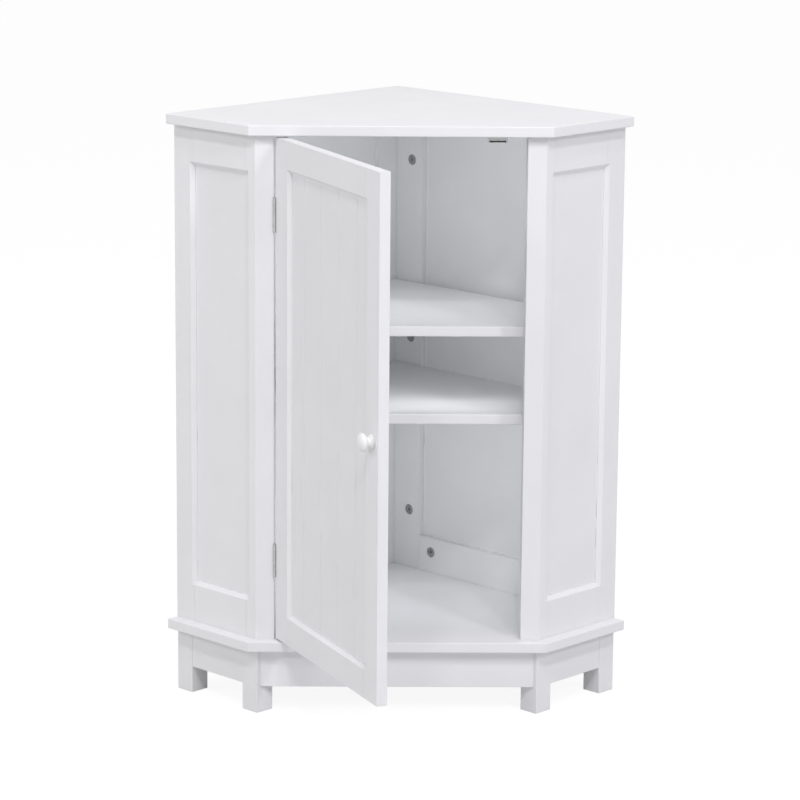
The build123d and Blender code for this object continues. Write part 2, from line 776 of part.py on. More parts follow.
# Knob: a turned mushroom on a wide foot, with its screw through the stile
knob_plane = Plane(
    origin=door_face.from_local_coords(Vector(knob_x, knob_z, 0)),
    x_dir=door_face.x_dir,
    z_dir=-door_face.y_dir,
)
with BuildPart() as knob:
    with BuildSketch(knob_plane):
        with BuildLine():
            Polyline((0, knob_length), (0, 0), (knob_foot_radius, 0), (knob_foot_radius, knob_foot_height))
            ThreePointArc(
                (knob_foot_radius, knob_foot_height),
                (knob_neck_radius, knob_neck_height),
                (knob_shoulder_radius, knob_shoulder_height),
            )
            Line((knob_shoulder_radius, knob_shoulder_height), (knob_head_radius, knob_rim_height))
            TangentArc((0, knob_length), (knob_head_radius, knob_rim_height), tangent=(1, 0))
        make_face()
    revolve(axis=Axis(knob_plane.origin, knob_plane.y_dir))
    knob_hole = disc(door_face, knob_screw_radius + screw_play, (knob_x, knob_z))
    extrude(knob_hole, amount=knob_screw_bite + screw_play, mode=Mode.SUBTRACT)
save(knob.part, "knob")

with BuildPart() as knob_screw:
    extrude(disc(door_back, knob_screw_radius, (knob_x, knob_z)), amount=door_thick + knob_screw_bite)
    extrude(disc(door_back, knob_screw_head_radius, (knob_x, knob_z)), amount=-knob_screw_head_height)
save(knob_screw.part, "knob_screw")


def hinge_leaf(plane, way, middle, knuckles):
    """One leaf with its knuckles round the pin axis; way is -1 on the post, 1 on the door."""
    foot = middle - hinge_height / 2
    pitch = (hinge_height + knuckle_gap) / knuckle_count
    leaf_inner = half_gap + mortise_depth - leaf_thick
    across = way * (leaf_inner + leaf_thick / 2)
    clear = knuckle_radius + knuckle_relief
    block(plane.offset(-leaf_width), (leaf_thick, hinge_height), (across, middle), leaf_width - clear)
    for index in knuckles:
        low = foot + index * pitch
        height = pitch - knuckle_gap
        block(plane.offset(-clear), (leaf_thick, height), (across, low + height / 2), clear)
        upright_bore(pin_x, pin_y, low, height, knuckle_radius, Mode.ADD)
    upright_bore(pin_x, pin_y, foot, hinge_height, hinge_pin_radius + running_gap)


# Butt hinges: the frame leaf has the outer knuckles, the door leaf the ones between
frame_knuckles = range(0, knuckle_count, 2)
door_knuckles = range(1, knuckle_count, 2)
for hinge_name, middle in hinge_middles.items():
    leaves = {
        "frame": (post_swing, -1, frame_knuckles, frame_screw_planes),
        "door": (door_swing, 1, door_knuckles, door_screw_planes),
    }
    for leaf_name, (plane, way, knuckles, screw_planes) in leaves.items():
        with BuildPart() as leaf:
            hinge_leaf(plane, way, middle, knuckles)
            for screw_plane in screw_planes:
                if abs(screw_plane.origin.Z - middle) < hinge_height / 2:
                    mouth = disc(screw_plane, hinge_screw_head_radius + screw_play)
                    throat = disc(screw_plane.offset(leaf_thick), hinge_screw_radius + screw_play)
                    loft([mouth, throat], mode=Mode.SUBTRACT)
        save(leaf.part, f"{hinge_name}_hinge_{leaf_name}_leaf")

    with BuildPart() as hinge_pin:
        pin_foot = middle - hinge_height / 2
        upright_bore(pin_x, pin_y, pin_foot, hinge_height, hinge_pin_radius, Mode.ADD)
        upright_bore(pin_x, pin_y, pin_foot + hinge_height, pin_head_height, pin_head_radius, Mode.ADD)
        upright_bore(pin_x, pin_y, pin_foot - pin_head_height, pin_head_height, pin_head_radius, Mode.ADD)
    save(hinge_pin.part, f"{hinge_name}_hinge_pin")


def countersunk_screw(plane, head_depth, length):
    """Screw whose flat head lies on the plane and whose shank runs along the plane's normal."""
    throat = disc(plane.offset(head_depth), hinge_screw_radius)
    loft([disc(plane, hinge_screw_head_radius), throat])
    extrude(throat, amount=length - head_depth)


for screws_name, planes in {"frame": frame_screw_planes, "door": door_screw_planes}.items():
    with BuildPart() as hinge_screws:
        for plane in planes:
            countersunk_screw(plane, leaf_thick, hinge_screw_length)
    save(hinge_screws.part, f"hinge_{screws_name}_screws")

# Magnetic catch: housing, magnet between two steel plates at its lower front, and two screws
housing_low = carcase_top - catch_height
magnet_low = housing_low + plate_thick
magnet_y = catch_front_y - plate_proud
plate_depth = magnet_depth + plate_proud
magnet_size = (magnet_width, magnet_depth)
magnet_centre = (catch_place, catch_front_y + magnet_depth / 2)
with BuildPart() as catch_housing:
    housing_centre = (catch_place, catch_front_y + catch_depth / 2)
    block(Plane.XY.offset(housing_low), (catch_width, catch_depth), housing_centre, catch_height)
    fillet(catch_housing.edges().filter_by(Axis.Z), radius=arris_round)
    pocket_height = magnet_height + 2 * plate_thick
    block(Plane.XY.offset(housing_low), magnet_size, magnet_centre, pocket_height, Mode.SUBTRACT)
    for screw_x, screw_y in catch_screw_places:
        upright_bore(screw_x, screw_y, housing_low, catch_height, catch_screw_radius + screw_play)
save(catch_housing.part, "catch_housing")

with BuildPart() as catch_magnet:
    block(Plane.XY.offset(magnet_low), magnet_size, magnet_centre, magnet_height)
save(catch_magnet.part, "catch_magnet")

with BuildPart() as catch_plates:
    for plate_low in (housing_low, magnet_low + magnet_height):
        plate_centre = (catch_place, magnet_y + plate_depth / 2)
        block(Plane.XY.offset(plate_low), (magnet_width, plate_depth), plate_centre, plate_thick)
save(catch_plates.part, "catch_plates")

with BuildPart() as catch_screws:
    for screw_x, screw_y in catch_screw_places:
        shank_length = catch_height + catch_screw_bite
        upright_bore(screw_x, screw_y, housing_low, shank_length, catch_screw_radius, Mode.ADD)
        upright_bore(
            screw_x,
            screw_y,
            housing_low - catch_screw_head_height,
            catch_screw_head_height,
            catch_screw_head_radius,
            Mode.ADD,
        )
save(catch_screws.part, "catch_screws")

# Strike plate on the back of the door, where it meets the catch
with BuildPart() as strike_plate:
    block(door_back, (strike_width, strike_height), (strike_x, strike_z), -strike_thick)
    strike_face = door_back.offset(-strike_thick)
    mouth = disc(strike_face, hinge_screw_head_radius + screw_play, (strike_x, strike_z))
    throat = disc(door_back, hinge_screw_radius + screw_play, (strike_x, strike_z))
    loft([mouth, throat], mode=Mode.SUBTRACT)
save(strike_plate.part, "strike_plate")

strike_screw_plane = Plane(
    origin=door_back.from_local_coords(Vector(strike_x, strike_z, -strike_thick)),
    z_dir=door_back.z_dir,
)
with BuildPart() as strike_screw:
    countersunk_screw(strike_screw_plane, strike_thick, strike_screw_length)
save(strike_screw.part, "strike_screw")


def cam_lock(plane, side, place, slot_way):
    """Turned disc flush with the inner face, slotted towards its bolt, with a cross for the driver."""
    along, up = place
    slot_reach = cam_radius + cam_play
    bore(plane, side, place, cam_radius, -cam_height, Mode.ADD)
    for size in ((cam_cross_length, cam_cross_width), (cam_cross_width, cam_cross_length)):
        block(plane, size, (along, side * up), -cam_cross_depth, Mode.SUBTRACT)
    slot_x = along + slot_way[0] * slot_reach / 2
    slot_y = side * (up + slot_way[1] * slot_reach / 2)
    slot_size = [slot_reach if step else cam_slot_width for step in slot_way]
    slot_face = plane.offset(bolt_line - frame_thick + cam_slot_width / 2)
    block(slot_face, slot_size, (slot_x, slot_y), -cam_slot_width, Mode.SUBTRACT)


# Cam locks and the bolts that they draw in
with BuildPart() as cam_locks:
    for height in corner_cam_heights:
        cam_lock(wall_plane(RIGHT, frame_thick), RIGHT, (corner_cam_along, height), (-1, 0))
    for side in SIDES.values():
        back_face = wall_plane(side, frame_thick)
        side_face = side_plane(side, frame_thick)
        for height in outer_cam_heights:
            cam_lock(back_face, side, (outer_cam_along, height), (1, 0))
        for place in low_cam_places(side):
            cam_lock(back_face, side, (place, low_cam_height), (0, -1))
        cam_lock(side_face, side, (side_cam_along, low_cam_height), (0, -1))
        cam_lock(side_face, side, (side_cam_along, high_cam_height), (0, 1))
save(cam_locks.part, "cam_locks")

with BuildPart() as cam_bolts:
    for plane in bolt_planes:
        extrude(disc(plane, cam_bolt_radius), amount=bolt_reach)
save(cam_bolts.part, "cam_bolts")

with BuildPart() as dowels:
    for x, y, foot in dowel_feet:
        upright_bore(x, y, foot, dowel_length, dowel_radius, Mode.ADD)
save(dowels.part, "dowels")
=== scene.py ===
import json
from math import cos, pi, radians, sin

import bmesh
import bpy
from mathutils import Matrix, Vector


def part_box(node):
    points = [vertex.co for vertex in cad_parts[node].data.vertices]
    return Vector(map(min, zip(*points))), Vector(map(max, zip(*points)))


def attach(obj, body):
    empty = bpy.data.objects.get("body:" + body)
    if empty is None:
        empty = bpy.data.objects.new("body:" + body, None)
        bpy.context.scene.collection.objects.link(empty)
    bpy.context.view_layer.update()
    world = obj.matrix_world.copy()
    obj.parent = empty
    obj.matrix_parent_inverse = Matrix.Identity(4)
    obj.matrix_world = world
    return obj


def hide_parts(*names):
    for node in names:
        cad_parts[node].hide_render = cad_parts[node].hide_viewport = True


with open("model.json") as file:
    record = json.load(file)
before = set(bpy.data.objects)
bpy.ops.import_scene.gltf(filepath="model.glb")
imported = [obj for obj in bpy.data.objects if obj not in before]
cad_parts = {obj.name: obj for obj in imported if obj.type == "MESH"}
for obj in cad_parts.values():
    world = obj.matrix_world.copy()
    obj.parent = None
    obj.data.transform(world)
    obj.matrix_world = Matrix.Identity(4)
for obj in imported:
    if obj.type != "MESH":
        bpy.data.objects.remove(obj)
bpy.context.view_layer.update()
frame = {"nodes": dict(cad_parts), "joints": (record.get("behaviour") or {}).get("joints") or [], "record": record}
nodes = frame["nodes"]
scene = bpy.context.scene

# Camera, in the row frame
camera_place = Vector((-0.065776, -4.65680, 1.37772))
camera_yaw = 0.015754
camera_pitch = 0.219026
camera_roll = 0.008234
camera_lens_mm = 148.36
camera_sensor_mm = 36.0

# Light: square lamps, all aimed at lamp_target
sky_strength = 0.486
sky_colour = (0.985, 0.985, 1.0, 1.0)
white_background = 1.0
lamp_target = Vector((0.0, -0.3, 0.45))
neutral_light = (1.0, 0.995, 1.0)
lilac_light = (0.960, 0.942, 1.0)
inner_light = (0.945, 0.995, 1.0)
lamps = {
    "key": {"place": (0.9, -3.6, 4.3), "size": 0.32, "power": 28.6, "colour": lilac_light},
    "left_side": {"place": (-4.1, -2.1, 2.7), "size": 0.6, "power": 32.5, "colour": neutral_light},
    "overhead": {"place": (0.0, -0.8, 4.2), "size": 0.5, "power": 10.5, "colour": lilac_light},
    "front_high": {"place": (0.2, -3.9, 3.7), "size": 0.32, "power": 29.6, "colour": neutral_light},
    "right_side": {"place": (2.3, -3.4, 2.6), "size": 0.45, "power": 32.5, "colour": lilac_light},
    "hard": {"place": (-0.6, -3.0, 3.6), "size": 0.3, "power": 19.0, "colour": neutral_light},
}

# Fill behind the door opening, one lamp for each compartment
fill_lift = 0.40
fill_below_ceiling = 0.006
fill_width = 0.30
fill_behind_front = 0.048
fills = {
    "lower": {"floor": "base_board", "ceiling": "lower_shelf", "power": 0.170},
    "middle": {"floor": "lower_shelf", "ceiling": "upper_shelf", "power": 0.092},
    "upper": {"floor": "upper_shelf", "ceiling": "top_board", "power": 0.154},
}

# Floor
floor_size = 30.0
floor_bounce = (0.70, 0.70, 0.70, 1.0)
floor_shade = (0.15, 0.15, 0.15, 1.0)
floor_glow = 0.905

# Door, at rest as the record's joint has it
door_joint = frame["joints"][0]
door_closed_angle = radians(-door_joint["range_deg"][0])
door_along = Vector((cos(door_closed_angle), -sin(door_closed_angle), 0))
door_outward = Vector((-sin(door_closed_angle), -cos(door_closed_angle), 0))

# Paint
blotch_scale = 9.0
speck_scale = 420.0
speck_share = 0.25
worn_reach = 0.0009
worn_scale = 55.0
worn_colour = (0.70, 0.69, 0.665, 1.0)
# How far the ambient occlusion mask reaches for the painted shade and painted light in corners and grooves
painted_shading_reach = 0.006
paint_sheen_scale = 32.0
paint_sheen_spread = (-0.06, 0.07)
peel_scale = 260.0
peel_height = 0.00010
fibre_scale = 1500.0
fibre_height = 0.00003

# Cracks in the paint of the lower grooves
crack_scale = 190.0
crack_stretch = (1.0, 1.0, 0.12)
crack_full_height = 0.30
crack_end_height = 0.52
crack_reach = 0.0016
crack_colour = (0.22, 0.21, 0.20, 1.0)

# Metal
mottle_scale = 240.0
streak_scale = 1600.0
streak_stretch = (1.0, 1.0, 0.08)
streak_share = 0.4
streak_height = 0.00002
# Painted shade on metal: corners and recesses are darkened towards near black by an ambient occlusion mask
metal_painted_shade_reach = 0.002
metal_painted_shade_share = 0.5
metal_painted_shade_colour = (0.10, 0.10, 0.10, 1.0)

# Plastic and bare beech
cloud_scale = 90.0
mould_grain_scale = 2400.0
mould_grain_height = 0.00003
beech_scale = 900.0
beech_stretch = (1.0, 1.0, 0.06)
beech_dark = (0.42, 0.27, 0.15, 1.0)
beech_light = (0.62, 0.45, 0.28, 1.0)
beech_grain_height = 0.00005

# Material of each record slot
# Painted shade for the frame and knob: a darker colour laid into corners and grooves where ambient occlusion finds
# them
painted_corner_shade = (0.56, 0.55, 0.53, 1.0)
# Painted light for the panel: a lighter colour laid into its grooves, offsetting the shade that falls there
painted_groove_light = (0.97, 0.97, 0.98, 1.0)
paints = {
    "frame_paint": {
        "colour": (0.865, 0.864, 0.876, 1.0),
        "shade": (0.838, 0.838, 0.850, 1.0),
        "roughness": 0.44,
        "rounding": 0.0010,
        "corner": painted_corner_shade,
        "painted_shading_share": 0.16,
    },
    "panel_paint": {
        "colour": (0.860, 0.860, 0.872, 1.0),
        "shade": (0.828, 0.828, 0.842, 1.0),
        "roughness": 0.47,
        "rounding": 0.0026,
        "corner": painted_groove_light,
        "painted_shading_share": 0.7,
        "cracks": 0.8,
    },
    "knob_paint": {
        "colour": (0.880, 0.880, 0.880, 1.0),
        "shade": (0.850, 0.850, 0.852, 1.0),
        "roughness": 0.30,
        "rounding": 0.0006,
        "corner": painted_corner_shade,
        "painted_shading_share": 0.16,
    },
}
metals = {
    "hinge_steel": {
        "colour": (0.60, 0.60, 0.61, 1.0),
        "dark": (0.46, 0.46, 0.47, 1.0),
        "roughness": (0.34, 0.52),
        "metallic": 0.5,
    },
    "screw_steel": {
        "colour": (0.62, 0.62, 0.62, 1.0),
        "dark": (0.40, 0.40, 0.41, 1.0),
        "roughness": (0.25, 0.42),
        "metallic": 1.0,
    },
    "plated_steel": {
        "colour": (0.60, 0.60, 0.61, 1.0),
        "dark": (0.42, 0.42, 0.43, 1.0),
        "roughness": (0.22, 0.40),
        "metallic": 1.0,
    },
    "cam_zinc": {
        "colour": (0.50, 0.50, 0.52, 1.0),
        "dark": (0.34, 0.34, 0.36, 1.0),
        "roughness": (0.38, 0.60),
        "metallic": 0.5,
    },
}
plastics = {
    "catch_plastic": {"colour": (0.80, 0.80, 0.79, 1.0), "shade": (0.74, 0.74, 0.73, 1.0)},
    "magnet_ferrite": {"colour": (0.030, 0.030, 0.030, 1.0), "shade": (0.018, 0.018, 0.018, 1.0)},
}

# Small turned pieces
turned_segments = 32
smooth_limit = radians(38)
weld_distance = 1e-6
recess_taper = 0.72

# Cam locks; those nearer than back_frame_reach to a wall are in the back frames
back_frame_reach = 0.10
cam_radius = 0.0075
cam_length = 0.0115
cam_chamfer = 0.0004
cam_rim_radius = 0.0058
cam_ring_depth = 0.0009
cam_hub_radius = 0.0043
cam_cross_length = 0.0062
cam_cross_width = 0.0019
cam_cross_depth = 0.0026

# Screws: their sizes, and the shares of these that shape the point, thread, head and driver's cross
thread_pitch = 0.0011
point_share = 0.15
root_share = 0.8
rim_share = 0.1
dome_start_share = 0.6
dome_top_share = 0.8
cross_length_share = 1.1
cross_width_share = 0.25
cross_depth_share = 0.6
hinge_screw = {
    "head_radius": 0.0024, "head_height": 0.0010, "shank_radius": 0.00125, "length": 0.0110, "flat": True,
}
strike_screw = {**hinge_screw, "length": 0.0100}
catch_screw = {
    "head_radius": 0.0026, "head_height": 0.0016, "shank_radius": 0.0014, "length": 0.0208, "flat": False,
}
knob_screw = {
    "head_radius": 0.0040, "head_height": 0.0020, "shank_radius": 0.0020, "length": 0.0285, "flat": False,
}

# Knob
knob_foot_radius = 0.0093
knob_foot_round = 0.0007
knob_foot_height = 0.0022
knob_shoulder_height = 0.0100
knob_neck_draw = 0.0034
knob_head_radius = 0.0120
knob_crown_height = 0.0062
knob_rim_start = radians(-37)
knob_shoulder_radius = knob_head_radius * cos(knob_rim_start)
knob_length = 0.0190
knob_steps = 10
knob_tip_share = 0.01


def make_node(tree, kind, inputs=None, **settings):
    """New shader node: settings are its properties, inputs are values or sockets to link."""
    made = tree.nodes.new(kind)
    for name, value in settings.items():
        setattr(made, name, value)
    for name, value in (inputs or {}).items():
        if isinstance(value, bpy.types.NodeSocket):
            tree.links.new(value, made.inputs[name])
        else:
            made.inputs[name].default_value = value
    return made


def new_material(name):
    material = bpy.data.materials.new(name)
    material.use_nodes = True
    material.node_tree.nodes.clear()
    return material, material.node_tree


def finish_material(tree, shader):
    make_node(tree, "ShaderNodeOutputMaterial", {"Surface": shader.outputs[0]})


def place_of(tree):
    """Position in the object's own frame, in metres."""
    return make_node(tree, "ShaderNodeTexCoord").outputs["Object"]


def noise(tree, place, scale, detail=2.0, roughness=0.5):
    inputs = {"Vector": place, "Scale": scale, "Detail": detail, "Roughness": roughness}
    return make_node(tree, "ShaderNodeTexNoise", inputs).outputs["Fac"]


def stretched(tree, place, scale):
    """Place with its axes scaled, for streaks."""
    return make_node(tree, "ShaderNodeMapping", {"Vector": place, "Scale": scale}).outputs[0]


def spread(tree, value, low, high, to_low, to_high):
    """Value between low and high, spread over to_low and to_high and held there outside."""
    inputs = {0: value, 1: low, 2: high, 3: to_low, 4: to_high}
    return make_node(tree, "ShaderNodeMapRange", inputs, clamp=True).outputs[0]


def math(tree, operation, *values):
    inputs = dict(enumerate(values))
    return make_node(tree, "ShaderNodeMath", inputs, operation=operation).outputs[0]


def mix_colour(tree, factor, first, second):
    made = make_node(tree, "ShaderNodeMix", data_type="RGBA")
    made.clamp_factor = True
    for index, value in ((0, factor), (6, first), (7, second)):
        if isinstance(value, bpy.types.NodeSocket):
            tree.links.new(value, made.inputs[index])
        else:
            made.inputs[index].default_value = value
    return made.outputs[2]


def bump(tree, height, distance, strength=1.0, normal=None):
    inputs = {"Height": height, "Distance": distance, "Strength": strength}
    if normal is not None:
        inputs["Normal"] = normal
    return make_node(tree, "ShaderNodeBump", inputs).outputs[0]


def edge_mask(tree, radius):
    """1 within about radius of an edge and 0 on open faces."""
    rounded = make_node(tree, "ShaderNodeBevel", {"Radius": radius}, samples=6).outputs[0]
    flat = make_node(tree, "ShaderNodeNewGeometry").outputs["Normal"]
    same = make_node(tree, "ShaderNodeVectorMath", {0: rounded, 1: flat}, operation="DOT_PRODUCT")
    return spread(tree, same.outputs["Value"], 0.999, 0.90, 0.0, 1.0)


def corner_mask(tree, reach):
    """1 deep in corners and grooves and 0 on open faces."""
    open_share = make_node(tree, "ShaderNodeAmbientOcclusion", {"Distance": reach}, samples=6)
    return spread(tree, open_share.outputs["AO"], 0.35, 0.95, 1.0, 0.0)


def paint_material(name, colour, shade, roughness, rounding, corner, painted_shading_share, cracks=0.0):
    """Sprayed satin paint on fibreboard: faint blotches, orange peel and thin worn edges.

    rounding is how far the paint softens an edge or a groove, and corner is a colour that an
    ambient occlusion mask mixes into corners and grooves, by the share after it: painted shade
    where it is darker than the paint, painted light where it is lighter. cracks is how dark the
    short upright cracks are that open in the lower grooves.
    """
    material, tree = new_material(name)
    place = place_of(tree)
    blotches = noise(tree, place, blotch_scale, 4.0, 0.55)
    base = mix_colour(tree, spread(tree, blotches, 0.3, 0.7, 0.0, 1.0), shade, colour)
    specks = noise(tree, place, speck_scale, 3.0, 0.6)
    base = mix_colour(tree, spread(tree, specks, 0.60, 0.75, 0.0, speck_share), base, shade)
    patches = spread(tree, noise(tree, place, worn_scale, 3.0), 0.35, 0.65, 0.10, 0.45)
    worn = math(tree, "MULTIPLY", edge_mask(tree, worn_reach), patches)
    base = mix_colour(tree, worn, base, worn_colour)
    # Painted shade or painted light: the corner colour is laid into corners and grooves by an ambient occlusion
    # mask
    painted_shading = math(tree, "MULTIPLY", corner_mask(tree, painted_shading_reach), painted_shading_share)
    base = mix_colour(tree, painted_shading, base, corner)
    if cracks:
        height = make_node(tree, "ShaderNodeSeparateXYZ", {0: place}).outputs[2]
        dashes = noise(tree, stretched(tree, place, crack_stretch), crack_scale, 1.0, 0.5)
        dashes = spread(tree, dashes, 0.60, 0.66, 0.0, cracks)
        low_down = spread(tree, height, crack_full_height, crack_end_height, 1.0, 0.0)
        dashes = math(tree, "MULTIPLY", dashes, low_down)
        dashes = math(tree, "MULTIPLY", dashes, corner_mask(tree, crack_reach))
        base = mix_colour(tree, dashes, base, crack_colour)
    sheen = noise(tree, place, paint_sheen_scale, 5.0, 0.6)
    smoothest, roughest = (roughness + step for step in paint_sheen_spread)
    rough = spread(tree, sheen, 0.3, 0.7, smoothest, roughest)
    normal = make_node(tree, "ShaderNodeBevel", {"Radius": rounding}, samples=6).outputs[0]
    normal = bump(tree, noise(tree, place, peel_scale, 2.0, 0.5), peel_height, normal=normal)
    normal = bump(tree, noise(tree, place, fibre_scale, 3.0, 0.65), fibre_height, normal=normal)
    shader = make_node(tree, "ShaderNodeBsdfPrincipled", {
        "Base Color": base,
        "Roughness": rough,
        "Normal": normal,
        "Specular IOR Level": 0.42,
    })
    finish_material(tree, shader)
    return material


def metal_material(name, colour, dark, roughness, metallic):
    """Plated or cast metal with rub marks, a mottled tone and painted shade in its corners and recesses."""
    material, tree = new_material(name)
    place = place_of(tree)
    mottle = noise(tree, place, mottle_scale, 4.0, 0.6)
    base = mix_colour(tree, spread(tree, mottle, 0.35, 0.7, 0.0, 1.0), dark, colour)
    streaks = noise(tree, stretched(tree, place, streak_stretch), streak_scale, 2.0, 0.5)
    base = mix_colour(tree, spread(tree, streaks, 0.55, 0.75, 0.0, streak_share), base, dark)
    # Painted shade: corners and recesses darken by the ambient occlusion mask
    metal_painted_shade = math(tree, "MULTIPLY", corner_mask(tree, metal_painted_shade_reach), metal_painted_shade_share)
    base = mix_colour(tree, metal_painted_shade, base, metal_painted_shade_colour)
    shader = make_node(tree, "ShaderNodeBsdfPrincipled", {
        "Base Color": base,
        "Roughness": spread(tree, mottle, 0.3, 0.7, *roughness),
        "Normal": bump(tree, streaks, streak_height),
        "Metallic": metallic,
    })
    finish_material(tree, shader)
    return material


def plastic_material(name, colour, shade):
    """Moulded plastic with a spark-eroded grain."""
    material, tree = new_material(name)
    place = place_of(tree)
    cloud = noise(tree, place, cloud_scale, 3.0, 0.5)
    base = mix_colour(tree, cloud, shade, colour)
    grain = noise(tree, place, mould_grain_scale, 2.0, 0.6)
    shader = make_node(tree, "ShaderNodeBsdfPrincipled", {
        "Base Color": base,
        "Roughness": spread(tree, cloud, 0.3, 0.7, 0.42, 0.55),
        "Normal": bump(tree, grain, mould_grain_height),
        "Specular IOR Level": 0.45,
    })
    finish_material(tree, shader)
    return material


def beech_material(name):
    """Bare beech with flecks along the upright grain."""
    material, tree = new_material(name)
    place = place_of(tree)
    grain = noise(tree, stretched(tree, place, beech_stretch), beech_scale, 4.0, 0.6)
    base = mix_colour(tree, grain, beech_dark, beech_light)
    shader = make_node(tree, "ShaderNodeBsdfPrincipled", {
        "Base Color": base,
        "Roughness": spread(tree, grain, 0.3, 0.7, 0.55, 0.72),
        "Normal": bump(tree, grain, beech_grain_height),
    })
    finish_material(tree, shader)
    return material


materials = {name: paint_material(name, **settings) for name, settings in paints.items()}
materials |= {name: metal_material(name, **settings) for name, settings in metals.items()}
materials |= {name: plastic_material(name, **settings) for name, settings in plastics.items()}
materials["bare_wood"] = beech_material("bare_wood")

slot_of = {part["node"]: part["material_slot"] for part in frame["record"]["subparts"]}
for name, piece in nodes.items():
    piece.data.materials.clear()
    piece.data.materials.append(materials[slot_of[name]])


def solids_of(name):
    """Corner points of each separate solid in a node, in the order of its mesh."""
    shape = bmesh.new()
    shape.from_mesh(nodes[name].data)
    bmesh.ops.remove_doubles(shape, verts=shape.verts, dist=weld_distance)
    unseen = dict.fromkeys(shape.verts)
    solids = []
    while unseen:
        waiting = [next(iter(unseen))]
        del unseen[waiting[0]]
        points = []
        while waiting:
            corner = waiting.pop()
            points.append(corner.co.copy())
            for edge in corner.link_edges:
                other = edge.other_vert(corner)
                if other in unseen:
                    del unseen[other]
                    waiting.append(other)
        solids.append(points)
    shape.free()
    return solids


def seat(points, outward):
    """Frame of a turned solid: its origin is the middle of its outer end, its Z is the way out."""
    turn = outward.to_track_quat("Z", "Y").to_matrix()
    local = [turn.transposed() @ point for point in points]
    lows = [min(point[axis] for point in local) for axis in range(3)]
    highs = [max(point[axis] for point in local) for axis in range(3)]
    end = turn @ Vector(((lows[0] + highs[0]) / 2, (lows[1] + highs[1]) / 2, highs[2]))
    return Matrix.Translation(end) @ turn.to_4x4()


def ring(shape, radius, height, segments):
    corners = []
    for index in range(segments):
        turn = 2 * pi * index / segments
        corners.append(shape.verts.new((radius * cos(turn), radius * sin(turn), height)))
    return corners


def skin(shape, first, second):
    """Faces between two rings with the same number of corners."""
    count = len(first)
    for index in range(count):
        after = (index + 1) % count
        shape.faces.new((first[index], first[after], second[after], second[index]))


def turned(shape, profile, segments):
    """Surface of revolution through (radius, height) points, closed at its start; gives its last ring."""
    rings = [ring(shape, radius, height, segments) for radius, height in profile]
    for first, second in zip(rings, rings[1:]):
        skin(shape, first, second)
    shape.faces.new(reversed(rings[0]))
    return rings[-1]


def cross_recess(shape, rim, height, length, width, depth):
    """Flat face inside a rim with a cross-shaped driver recess sunk into it."""
    reach, half = length / 2, width / 2
    arm = [(reach, -half), (reach, half), (half, half)]
    outline = []
    for quarter in range(4):
        turn = Matrix.Rotation(quarter * pi / 2, 2)
        outline += [turn @ Vector(point) for point in arm]
    mouth = [shape.verts.new((x, y, height)) for x, y in outline]
    floor = [shape.verts.new((x * recess_taper, y * recess_taper, height - depth)) for x, y in outline]
    skin(shape, mouth, floor)
    shape.faces.new(floor)
    edges = []
    for loop in (rim, mouth):
        for index, corner in enumerate(loop):
            after = loop[(index + 1) % len(loop)]
            edge = shape.edges.get((corner, after))
            edges.append(edge or shape.edges.new((corner, after)))
    bmesh.ops.triangle_fill(shape, edges=edges, use_beauty=True)


def add_piece(name, shape, seats, body, slot, replaced):
    """One object from a shape repeated at each seat, riding on its body in place of its nodes."""
    bmesh.ops.recalc_face_normals(shape, faces=shape.faces)
    mesh = bpy.data.meshes.new(name)
    whole = bmesh.new()
    for place in seats:
        shape.to_mesh(mesh)
        mesh.transform(place)
        whole.from_mesh(mesh)
    whole.to_mesh(mesh)
    whole.free()
    shape.free()
    mesh.materials.append(materials[slot])
    for face in mesh.polygons:
        face.use_smooth = True
    mesh.set_sharp_from_angle(angle=smooth_limit)
    piece = bpy.data.objects.new(name, mesh)
    scene.collection.objects.link(piece)
    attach(piece, body)
    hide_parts(*replaced)


def build_cams():
    """Cast cam locks: a chamfered rim, a sunk ring, a hub and the driver's cross in it."""
    shape = bmesh.new()
    profile = [
        (cam_radius - cam_chamfer, -cam_length),
        (cam_radius, cam_chamfer - cam_length),
        (cam_radius, -cam_chamfer),
        (cam_radius - cam_chamfer, 0.0),
        (cam_rim_radius, 0.0),
        (cam_rim_radius - cam_chamfer, -cam_ring_depth),
        (cam_hub_radius + cam_chamfer, -cam_ring_depth),
        (cam_hub_radius, -cam_chamfer),
        (cam_hub_radius - cam_chamfer, -cam_chamfer),
    ]
    hub = turned(shape, profile, turned_segments)
    cross_recess(shape, hub, -cam_chamfer, cam_cross_length, cam_cross_width, cam_cross_depth)
    seats = []
    for points in solids_of("cam_locks"):
        middle = sum(points, Vector()) / len(points)
        wall_gap = -middle.y - abs(middle.x)
        way = 1 if middle.x > 0 else -1
        in_back = wall_gap < back_frame_reach
        outward = Vector((-way, -1, 0)) if in_back else Vector((-way, 1, 0))
        seats.append(seat(points, outward.normalized()))
    add_piece("cam_lock_castings", shape, seats, "cabinet", "cam_zinc", ["cam_locks"])


def build_screws(name, body, node, outward, head_radius, head_height, shank_radius, length, flat):
    """Screws with ridged shanks and a driver's cross; flat heads are countersunk, others domed."""
    shape = bmesh.new()
    root_radius = shank_radius * root_share
    ridge = 2 * shank_radius - length
    profile = [(shank_radius * point_share, -length), (root_radius, ridge)]
    while ridge + thread_pitch < -head_height - shank_radius:
        profile.append((shank_radius, ridge + thread_pitch / 2))
        profile.append((root_radius, ridge + thread_pitch))
        ridge += thread_pitch
    profile.append((shank_radius, -head_height - shank_radius / 2))
    profile.append((shank_radius, -head_height))
    if flat:
        profile.append((head_radius, -rim_share * head_height))
        profile.append((head_radius, 0.0))
    else:
        profile.append((head_radius, -head_height))
        profile.append((head_radius, -dome_start_share * head_height))
        profile.append((head_radius * dome_top_share, 0.0))
    top = turned(shape, profile, turned_segments)
    cross_length = head_radius * cross_length_share
    cross_width = head_radius * cross_width_share
    cross_recess(shape, top, 0.0, cross_length, cross_width, head_height * cross_depth_share)
    seats = [seat(points, outward) for points in solids_of(node)]
    add_piece(name, shape, seats, body, "screw_steel", [node])


